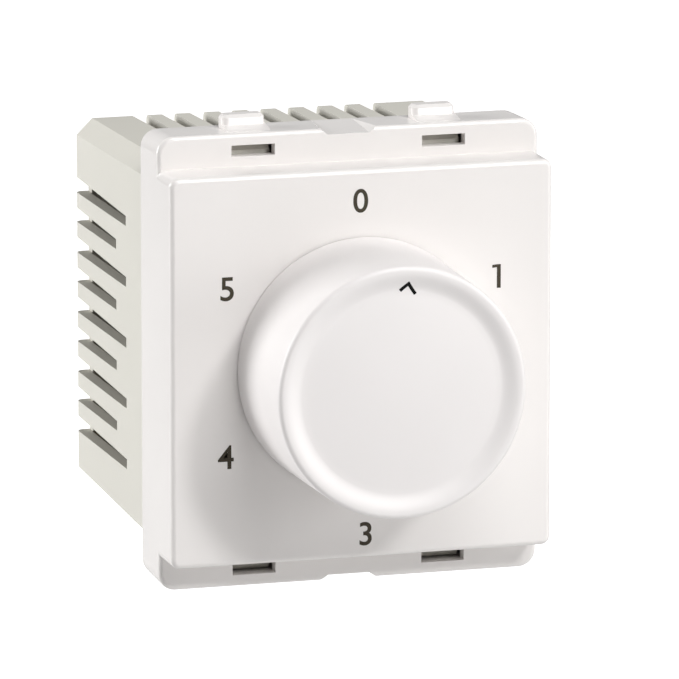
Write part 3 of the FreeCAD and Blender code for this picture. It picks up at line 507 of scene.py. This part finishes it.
def solder_tree():
    """Small cones of solder on points, standing along the depth axis."""
    tree, nodes, links, entry, finish = tree_with(
        "Solder joints", ("Points", "NodeSocketGeometry"), ("Sides", "NodeSocketInt"),
        ("Foot radius", "NodeSocketFloat"), ("Top radius", "NodeSocketFloat"),
        ("Height", "NodeSocketFloat"), ("Tilt", "NodeSocketFloat"))
    cone = nodes.new("GeometryNodeMeshCone")
    links.new(entry.outputs["Sides"], cone.inputs["Vertices"])
    links.new(entry.outputs["Foot radius"], cone.inputs["Radius Bottom"])
    links.new(entry.outputs["Top radius"], cone.inputs["Radius Top"])
    links.new(entry.outputs["Height"], cone.inputs["Depth"])
    turn = nodes.new("ShaderNodeCombineXYZ")
    links.new(entry.outputs["Tilt"], turn.inputs["X"])
    spread = nodes.new("GeometryNodeInstanceOnPoints")
    links.new(entry.outputs["Points"], spread.inputs["Points"])
    links.new(cone.outputs["Mesh"], spread.inputs["Instance"])
    links.new(turn.outputs["Vector"], spread.inputs["Rotation"])
    made_real(nodes, links, spread.outputs["Instances"], finish)
    return tree


def turn_faces_outwards(mesh, smooth):
    """Every face of a closed mesh points outwards and is shaded smooth or flat."""
    work = bmesh.new()
    work.from_mesh(mesh)
    bmesh.ops.recalc_face_normals(work, faces=work.faces)
    for face in work.faces:
        face.smooth = smooth
    work.to_mesh(mesh)
    work.free()


def grown(tree, base, values):
    """Plain mesh of what a tree makes of a base mesh, its faces pointing outwards."""
    crease = radians(40.0)
    carrier = bpy.data.objects.new("carrier", base)
    bpy.context.scene.collection.objects.link(carrier)
    modifier = carrier.modifiers.new("Shape", "NODES")
    modifier.node_group = tree
    for item in tree.interface.items_tree:
        if item.in_out == "INPUT" and item.name in values:
            modifier[item.identifier] = values[item.name]
    seen = carrier.evaluated_get(bpy.context.evaluated_depsgraph_get())
    mesh = bpy.data.meshes.new_from_object(seen)
    bpy.data.objects.remove(carrier)
    turn_faces_outwards(mesh, smooth=True)
    mesh.set_sharp_from_angle(angle=crease)
    return mesh


def points_mesh(points):
    """Mesh of loose points."""
    mesh = bpy.data.meshes.new("points")
    mesh.from_pydata(points, [], [])
    return mesh


def face_depth(settings, radius):
    """Depth of the knob's face at a distance from the axis."""
    valley = KNOB_LOW.y + settings.valley_depth
    if radius <= settings.valley_radius:
        return valley - settings.dome_height * (1 - (radius / settings.valley_radius) ** 2)
    if radius >= settings.crest_radius:
        return KNOB_LOW.y
    climb = (radius - settings.valley_radius) / (settings.crest_radius - settings.valley_radius)
    eased = climb ** 2 * (3 - 2 * climb)
    return valley - settings.valley_depth * eased


def knob_profile(settings):
    """Outline of the cup, from the middle of the face round to the middle of the inside."""
    dome_steps, slope_steps, round_steps, side_steps = 16, 14, 10, 6
    slope = settings.crest_radius - settings.valley_radius
    radii = [settings.valley_radius * i / dome_steps for i in range(dome_steps)]
    radii += [settings.valley_radius + slope * i / slope_steps for i in range(slope_steps + 1)]
    outline = [(radius, face_depth(settings, radius)) for radius in radii]
    front, back, bend = KNOB_LOW.y, KNOB_HIGH.y, settings.rim_round
    centre = (settings.rim_radius - bend, front + bend)
    for i in range(round_steps + 1):
        turn = i / round_steps * pi / 2
        outline.append((centre[0] + bend * sin(turn), centre[1] - bend * cos(turn)))
    rim, base = outline[-1], (KNOB_HIGH.x, back)
    for i in range(1, side_steps + 1):
        share = i / side_steps
        outline.append((rim[0] + (base[0] - rim[0]) * share, rim[1] + (base[1] - rim[1]) * share))
    inside = front + settings.valley_depth + settings.face_wall
    outline += [(base[0] - settings.wall, back), (settings.rim_radius - settings.wall, inside),
                (0.0, inside)]
    return outline


def turned(settings, outline):
    """Mesh of an outline turned about the knob's axis."""
    weld = 0.002 * MM
    points = points_mesh([(radius, depth, 0.0) for radius, depth in outline])
    return grown(turning_tree(), points, {"Segments": settings.segments, "Weld": weld})


class FANCONTROL_OT_knob(bpy.types.Operator):
    """Turn the knob's cup and hub, and set the ribs in it"""
    bl_idname = "fancontrol.knob"
    bl_label = "Knob"

    def execute(self, context):
        settings = context.scene.fan_knob
        plastic = bpy.data.materials["Knob plastic"]
        cup = place_mesh("knob_cup", turned(settings, knob_profile(settings)), "rotor", plastic)
        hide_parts("knob")
        start = KNOB_LOW.y + settings.valley_depth + settings.face_wall / 2
        hub_end = KNOB_HIGH.y - settings.hub_step
        hub = [(settings.bore_radius, start), (settings.hub_radius, start), (settings.hub_radius, hub_end),
               (settings.bore_radius, hub_end), (settings.bore_radius, start)]
        place_mesh("knob_hub", turned(settings, hub), "rotor", plastic)
        rib_end = KNOB_HIGH.y - settings.rib_step
        near, far = (settings.bore_radius + settings.hub_radius) / 2, settings.rim_radius - settings.wall / 2
        size = (far - near, settings.rib_thickness, rib_end - start)
        ribs = grown(rib_tree(), points_mesh([]), {
            "Count": settings.rib_count, "Middle radius": (far + near) / 2,
            "Middle depth": (start + rib_end) / 2, "Rib size": size})
        place_mesh("knob_ribs", ribs, "rotor", plastic)
        return {"FINISHED"}


def pointer_mesh(knob, left, tip, right, stroke, lift):
    """Two strokes that meet in a point, laid on the knob's face."""
    steps = 10
    spots = [Vector(left), Vector(tip), Vector(right)]
    arms = [(spots[1] - spots[0]).normalized(), (spots[2] - spots[1]).normalized()]
    sides = [Vector((-arm.y, arm.x)) for arm in arms]
    mitre = (sides[0] + sides[1]).normalized()
    mitre *= stroke / 2 / mitre.dot(sides[0])
    offsets = [sides[0] * stroke / 2, mitre, sides[1] * stroke / 2]
    rows = []
    for arm in (0, 1):
        for i in range(arm, steps + 1):
            share = i / steps
            middle = spots[arm].lerp(spots[arm + 1], share)
            offset = offsets[arm].lerp(offsets[arm + 1], share)
            rows.append((middle + offset, middle - offset))
    corners = []
    for level in (lift, 0.0):
        for row in rows:
            for spot in row:
                corners.append((spot.x, face_depth(knob, spot.length) - level, spot.y))
    half = len(corners) // 2
    faces = []
    for i in range(len(rows) - 1):
        a, b, c, d = 2 * i, 2 * i + 1, 2 * i + 3, 2 * i + 2
        faces.append((a, b, c, d))
        faces.append((half + d, half + c, half + b, half + a))
        faces.append((a, d, half + d, half + a))
        faces.append((b, half + b, half + c, c))
    last = half - 2
    faces.append((0, half, half + 1, 1))
    faces.append((last, last + 1, half + last + 1, half + last))
    mesh = bpy.data.meshes.new("pointer")
    mesh.from_pydata(corners, [], faces)
    turn_faces_outwards(mesh, smooth=False)
    return mesh


class FANCONTROL_OT_pointer(bpy.types.Operator):
    """Print the pointer on the knob"""
    bl_idname = "fancontrol.pointer"
    bl_label = "Pointer on the knob"

    def execute(self, context):
        settings, knob = context.scene.fan_print, context.scene.fan_knob
        mesh = pointer_mesh(knob, settings.pointer_left, settings.pointer_tip, settings.pointer_right,
                            settings.pointer_stroke, settings.ink_thickness)
        material = ink("Pointer ink", settings.pointer_colour, settings.speck_size)
        place_mesh("knob_pointer", mesh, "rotor", material)
        return {"FINISHED"}


SPEED_CONTACTS = ["speed_contact_%d" % i for i in range(1, 6)]


class FANCONTROL_OT_inside(bpy.types.Operator):
    """Finish the switch, the circuit board and the terminals inside the case"""
    bl_idname = "fancontrol.inside"
    bl_label = "Pieces inside the case"

    def execute(self, context):
        settings = context.scene.fan_inside
        brass = metal("Contact brass", settings.brass_colour, roughness=0.25, streak_size=0.6 * MM)
        zinc = metal("Zinc plating", settings.zinc_colour, roughness=0.3, streak_size=0.4 * MM)
        spring = metal("Spring steel", settings.spring_colour, roughness=0.22, streak_size=0.3 * MM)
        dark = moulded_plastic("Switch plastic", settings.switch_colour, roughness=0.4, flow=4 * MM,
                               grain=0.2 * MM, grain_depth=0.003 * MM)
        cream = moulded_plastic("Carrier plastic", settings.carrier_colour, roughness=0.4, flow=3 * MM,
                                grain=0.2 * MM, grain_depth=0.003 * MM)
        nylon = moulded_plastic("Shaft plastic", settings.shaft_colour, roughness=0.35, flow=3 * MM,
                                grain=0.2 * MM, grain_depth=0.002 * MM)
        laminate = moulded_plastic("Board laminate", settings.laminate_colour, roughness=0.5, flow=1.2 * MM,
                                   grain=0.1 * MM, grain_depth=0.004 * MM, tone=0.8)
        case = moulded_plastic("Capacitor case", settings.capacitor_colour, roughness=0.45, flow=5 * MM,
                               grain=0.3 * MM, grain_depth=0.006 * MM, tone=0.9)
        lacquer = moulded_plastic("Resistor lacquer", settings.lacquer_colour, roughness=0.3,
                                  flow=1.5 * MM, grain=0.2 * MM, grain_depth=0.004 * MM, tone=0.85)
        dress(brass, "line_terminal", "fan_terminal", "common_contact", "wiper_contact", *SPEED_CONTACTS)
        dress(zinc, "line_clamp_plate", "fan_clamp_plate", "line_clamp_screw", "fan_clamp_screw",
              "board_screw_left", "board_screw_right", "switch_rivet_1", "switch_rivet_2")
        dress(spring, "knob_clip", "shaft_circlip", "detent_spring")
        dress(dark, "switch_cap", "switch_base")
        dress(cream, "detent_wheel", "contact_carrier")
        dress(nylon, "switch_shaft")
        dress(laminate, "circuit_board")
        dress(case, "large_capacitor", "medium_capacitor", "small_capacitor")
        dress(lacquer, "surge_resistor_1", "surge_resistor_2", "bleed_resistor_1", "bleed_resistor_2")
        return {"FINISHED"}


# Height of the common contact's pin above the knob's axis
COMMON_PIN_HEIGHT = 3.95 * MM
# Resistor, distance between its leads, and the axis that they lie along: 0 across, 1 up
RESISTOR_LEADS = [("surge_resistor_1", 15 * MM, 0), ("surge_resistor_2", 15 * MM, 0),
                  ("bleed_resistor_1", 10 * MM, 1), ("bleed_resistor_2", 10 * MM, 1)]
# Capacitor and each lead's distance from its middle
CAPACITOR_LEADS = [("large_capacitor", 15 * MM), ("medium_capacitor", 13.5 * MM),
                   ("small_capacitor", 7.5 * MM)]


def middle_of(node):
    """Middle of a node's box."""
    low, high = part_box(node)
    return (low + high) / 2


def pin_places():
    """Places across the board of the pins that stand out of its back."""
    middles = [middle_of(name) for name in SPEED_CONTACTS]
    places = [(middle.x, middle.z) for middle in middles]
    places.append((0.0, COMMON_PIN_HEIGHT))
    for name, pitch, axis in RESISTOR_LEADS:
        middle = middle_of(name)
        for side in (-pitch / 2, pitch / 2):
            spot = [middle.x, middle.z]
            spot[axis] += side
            places.append(tuple(spot))
    return places


def lead_places():
    """Places across the board of the leads that stand out of its front."""
    places = []
    for name, reach in CAPACITOR_LEADS:
        middle = middle_of(name)
        places += [(middle.x - reach, middle.z), (middle.x + reach, middle.z)]
    return places


class FANCONTROL_OT_solder(bpy.types.Operator):
    """Solder the pins and leads to the circuit board"""
    bl_idname = "fancontrol.solder"
    bl_label = "Solder joints"

    def execute(self, context):
        settings = context.scene.fan_solder
        solder = metal("Solder", settings.colour, roughness=0.25, streak_size=0.5 * MM)
        sizes = {"Sides": settings.sides, "Foot radius": settings.foot_radius,
                 "Top radius": settings.top_radius, "Height": settings.height}
        back = [(x, BOARD_HIGH.y, z) for x, z in pin_places()]
        front = [(x, BOARD_LOW.y, z) for x, z in lead_places()]
        tree = solder_tree()
        for name, points, tilt in (("solder_back", back, -pi / 2), ("solder_front", front, pi / 2)):
            mesh = grown(tree, points_mesh(points), {**sizes, "Tilt": tilt})
            place_mesh(name, mesh, "frame", solder)
        return {"FINISHED"}


# Numeral and the place of its middle on the panel, in millimetres across and up
NUMERALS = [("0", -0.2, 18.9), ("1", 15.9, 9.3), ("2", 16.0, -9.6), ("3", 0.4, -19.75),
            ("4", -16.1, -9.8), ("5", -15.9, 9.6)]


def one_outline():
    """Outline of a one with a short flag, in shares of its height."""
    stroke, flag, thickness, droop = 0.17, 0.2, 0.125, 0.02
    return [(0.0, -0.5), (stroke, -0.5), (stroke, 0.5), (0.0, 0.5), (-flag, 0.5 - droop),
            (-flag, 0.5 - droop - thickness), (0.0, 0.5 - thickness)]


def numeral_curve(text, boldness):
    """Character as a curve that can be filled."""
    if text != "1":
        curve = bpy.data.curves.new("numeral", "FONT")
        curve.body = text
        curve.offset = boldness
        return curve
    curve = bpy.data.curves.new("numeral", "CURVE")
    curve.dimensions = "2D"
    outline = one_outline()
    spline = curve.splines.new("POLY")
    spline.points.add(len(outline) - 1)
    for point, (x, y) in zip(spline.points, outline):
        point.co = (x, y, 0.0, 1.0)
    spline.use_cyclic_u = True
    return curve


def numeral_mesh(text, height, boldness, thickness):
    """One character as a thin flat solid, its middle at the origin, facing the front."""
    curve = numeral_curve(text, boldness)
    curve.fill_mode = "BOTH"
    # One unit thick for now: the ink's thickness scales it below
    curve.extrude = 0.5
    carrier = bpy.data.objects.new("numeral", curve)
    bpy.context.scene.collection.objects.link(carrier)
    bpy.context.view_layer.update()
    seen = carrier.evaluated_get(bpy.context.evaluated_depsgraph_get())
    mesh = bpy.data.meshes.new_from_object(seen)
    bpy.data.objects.remove(carrier)
    bpy.data.curves.remove(curve)
    low = [min(v.co[i] for v in mesh.vertices) for i in range(3)]
    high = [max(v.co[i] for v in mesh.vertices) for i in range(3)]
    scale = height / (high[1] - low[1])
    for vertex in mesh.vertices:
        x, y, z = vertex.co
        across, up = x - (low[0] + high[0]) / 2, y - (low[1] + high[1]) / 2
        vertex.co = (across * scale, -z * thickness, up * scale)
    return mesh


class FANCONTROL_OT_numerals(bpy.types.Operator):
    """Print the numerals on the panel"""
    bl_idname = "fancontrol.numerals"
    bl_label = "Numerals on the panel"

    def execute(self, context):
        settings = context.scene.fan_print
        material = ink("Numeral ink", settings.ink_colour, settings.speck_size)
        for text, x, z in NUMERALS:
            mesh = numeral_mesh(text, settings.numeral_height, settings.boldness, settings.ink_thickness)
            mesh.transform(Matrix.Translation((x * MM, PANEL_FACE, z * MM)))
            place_mesh("numeral_" + text, mesh, "frame", material)
        return {"FINISHED"}


class FANCONTROL_OT_stage(bpy.types.Operator):
    """Set up the camera, the floor and the lights"""
    bl_idname = "fancontrol.stage"
    bl_label = "Camera, floor and lights"

    def execute(self, context):
        settings = context.scene.fan_stage
        self.camera(context, settings)
        self.floor(context, settings)
        self.world(context, settings)
        self.lamp(context, "Key light", settings.key_place, settings.key_size, settings.key_watts)
        self.lamp(context, "Top light", settings.top_place, settings.top_size, settings.top_watts)
        self.lamp(context, "Right light", settings.right_place, settings.right_size, settings.right_watts)
        self.lamp(context, "Left light", settings.left_place, settings.left_size, settings.left_watts)
        context.scene.view_settings.view_transform = "Standard"
        return {"FINISHED"}

    def camera(self, context, settings):
        """Long lens that looks at the panel from the front left and a little above."""
        turn, tilt = settings.azimuth, settings.elevation
        back = Vector((sin(turn) * cos(tilt), -cos(turn) * cos(tilt), sin(tilt)))
        right = Vector((cos(turn), sin(turn), 0.0))
        up = back.cross(right)
        data = bpy.data.cameras.new("Camera")
        data.lens = settings.lens
        camera = bpy.data.objects.new("Camera", data)
        camera.location = (PANEL_MIDDLE + back * settings.distance
                           + right * settings.aim_right + up * settings.aim_up)
        camera.rotation_mode = "QUATERNION"
        camera.rotation_quaternion = (-back).to_track_quat("-Z", "Y")
        context.scene.collection.objects.link(camera)
        context.scene.camera = camera

    def floor(self, context, settings):
        """Pale floor below the object, which glows for the camera alone."""
        half = settings.floor_size / 2
        mesh = bpy.data.meshes.new("floor")
        corners = [(-half, -half), (half, -half), (half, half), (-half, half)]
        mesh.from_pydata([(x, y, -settings.floor_drop) for x, y in corners], [], [(0, 1, 2, 3)])
        material, nodes, links, shader = new_material("Floor")
        clouds = noise(nodes, links, settings.floor_clouds, detail=3.0)
        dark, light = [settings.floor_dark] * 3, [settings.floor_light] * 3
        links.new(two_tones(nodes, links, clouds, dark, light), shader.inputs["Base Color"])
        shader.inputs["Roughness"].default_value = settings.floor_roughness
        ray = nodes.new("ShaderNodeLightPath").outputs
        glow = arithmetic(nodes, links, "MULTIPLY", ray["Is Camera Ray"], settings.floor_glow)
        shader.inputs["Emission Color"].default_value = WHITE
        links.new(glow, shader.inputs["Emission Strength"])
        mesh.materials.append(material)
        floor = bpy.data.objects.new("floor", mesh)
        context.scene.collection.objects.link(floor)

    def world(self, context, settings):
        """White walls for the camera, dimmer ones in reflections, and a faint light on the object."""
        world = bpy.data.worlds.new("Room")
        world.use_nodes = True
        nodes, links = world.node_tree.nodes, world.node_tree.links
        background = nodes["Background"]
        background.inputs["Color"].default_value = WHITE
        ray = nodes.new("ShaderNodeLightPath").outputs
        seen = arithmetic(nodes, links, "MAXIMUM", ray["Is Camera Ray"], ray["Is Transmission Ray"])
        mirrored = arithmetic(nodes, links, "MULTIPLY", ray["Is Glossy Ray"], settings.mirrored_walls)
        walls = arithmetic(nodes, links, "MAXIMUM", seen, mirrored)
        strength = nodes.new("ShaderNodeMapRange")
        strength.inputs["To Min"].default_value = settings.world_strength
        strength.inputs["To Max"].default_value = 1.0
        links.new(walls, strength.inputs["Value"])
        links.new(strength.outputs["Result"], background.inputs["Strength"])
        context.scene.world = world

    def lamp(self, context, name, place, size, watts):
        """Round soft lamp that faces the panel's middle."""
        data = bpy.data.lights.new(name, "AREA")
        data.shape = "DISK"
        data.size = size
        data.energy = watts
        lamp = bpy.data.objects.new(name, data)
        lamp.location = place
        lamp.rotation_mode = "QUATERNION"
        lamp.rotation_quaternion = (PANEL_MIDDLE - Vector(place)).to_track_quat("-Z", "Y")
        context.scene.collection.objects.link(lamp)


class FANCONTROL_PT_panel(bpy.types.Panel):
    bl_label = "Fan speed control"
    bl_space_type = "VIEW_3D"
    bl_region_type = "UI"
    bl_category = "Fan control"

    def draw(self, context):
        for operator in OPERATORS:
            self.layout.operator(operator.bl_idname)


SETTINGS = {"fan_plastic": PlasticSettings, "fan_knob": KnobSettings, "fan_print": PrintSettings,
            "fan_inside": InsideSettings, "fan_solder": SolderSettings, "fan_stage": StageSettings}
OPERATORS = (FANCONTROL_OT_plastic, FANCONTROL_OT_inside, FANCONTROL_OT_solder, FANCONTROL_OT_knob,
             FANCONTROL_OT_numerals, FANCONTROL_OT_pointer, FANCONTROL_OT_stage)
CLASSES = (*SETTINGS.values(), *OPERATORS, FANCONTROL_PT_panel)


def register():
    for cls in CLASSES:
        bpy.utils.register_class(cls)
    for name, cls in SETTINGS.items():
        setattr(bpy.types.Scene, name, bpy.props.PointerProperty(type=cls))


def unregister():
    for name in SETTINGS:
        delattr(bpy.types.Scene, name)
    for cls in reversed(CLASSES):
        bpy.utils.unregister_class(cls)


def main():
    register()
    for operator in OPERATORS:
        group, action = operator.bl_idname.split(".")
        getattr(getattr(bpy.ops, group), action)()


if __name__ == "__main__":
    main()
